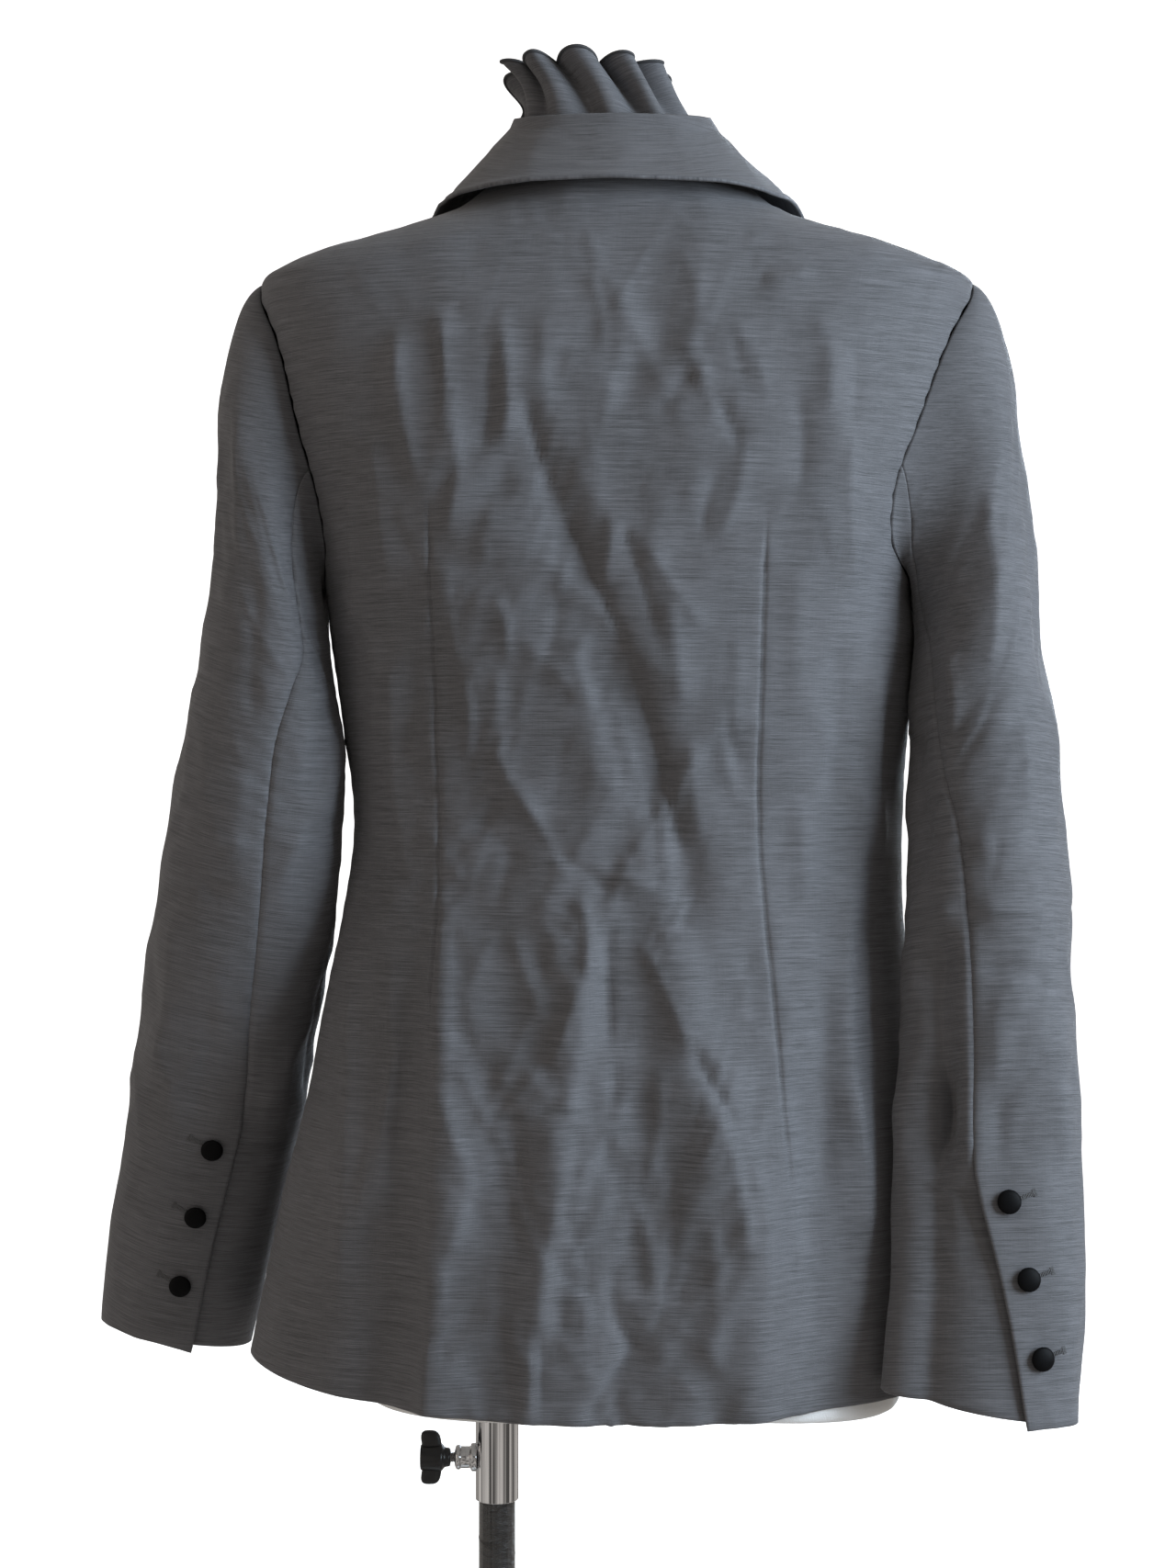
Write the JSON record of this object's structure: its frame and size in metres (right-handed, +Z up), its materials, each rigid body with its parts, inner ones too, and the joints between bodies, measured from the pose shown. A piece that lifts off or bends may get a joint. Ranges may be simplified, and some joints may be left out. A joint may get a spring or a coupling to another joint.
{
  "type": "double-breasted blazer on dress form",
  "caption": "Fitted long-sleeved blazer with wide lapels, a fold-over collar and a pleated stand-up frill, shown on a limbless dress form with a round-base stand.",
  "frame": {"origin": "centre of the base's underside, on the pole's axis, where the stand rests on the floor", "axes": "+Z up; -Y towards the garment's front; +X towards the wearer's left"},
  "size_m": [0.5642, 0.33, 1.3642],
  "materials": {
    "suiting": "matte",
    "buttons": "satin",
    "form_cover": "matte",
    "chrome": "polished",
    "knob": "satin",
    "wrapped_pole": "satin",
    "base": "satin"
  },
  "bodies": {
    "stand": {"base": "base", "base_hub": "chrome"},
    "pole": {"pole": "wrapped_pole"},
    "form": {"tube": "chrome", "clamp_boss": "chrome", "form_torso": "form_cover", "back": "suiting", "front_left": "suiting", "front_right": "suiting", "lapel_left": "suiting", "lapel_right": "suiting", "collar": "suiting", "ruffle": "suiting", "sleeve_upper_left": "suiting", "sleeve_under_left": "suiting", "sleeve_upper_right": "suiting", "sleeve_under_right": "suiting", "button_cuff_left_1": "buttons", "button_cuff_left_2": "buttons", "button_cuff_left_3": "buttons", "button_cuff_right_1": "buttons", "button_cuff_right_2": "buttons", "button_cuff_right_3": "buttons", "button_front_top_inner": "buttons", "button_front_top_outer": "buttons", "button_front_middle_inner": "buttons", "button_front_middle_outer": "buttons", "button_front_low_inner": "buttons", "button_front_low_outer": "buttons"},
    "knob": {"knob_screw": "chrome", "knob_grip": "knob"}
  },
  "joints": [
    {"name": "pole_turn", "type": "hinge", "parent": "stand", "child": "pole", "pos_m": [0, 0, 0.05], "axis": [0, 0, 1], "continuous": true},
    {"name": "height_slide", "type": "slide", "parent": "pole", "child": "form", "axis": [0, 0, 1], "range_m": [-0.12, 0.12]},
    {"name": "knob_turn", "type": "hinge", "parent": "form", "child": "knob", "pos_m": [0.03, 0, 0.551], "axis": [1, 0, 0], "continuous": true}
  ]
}
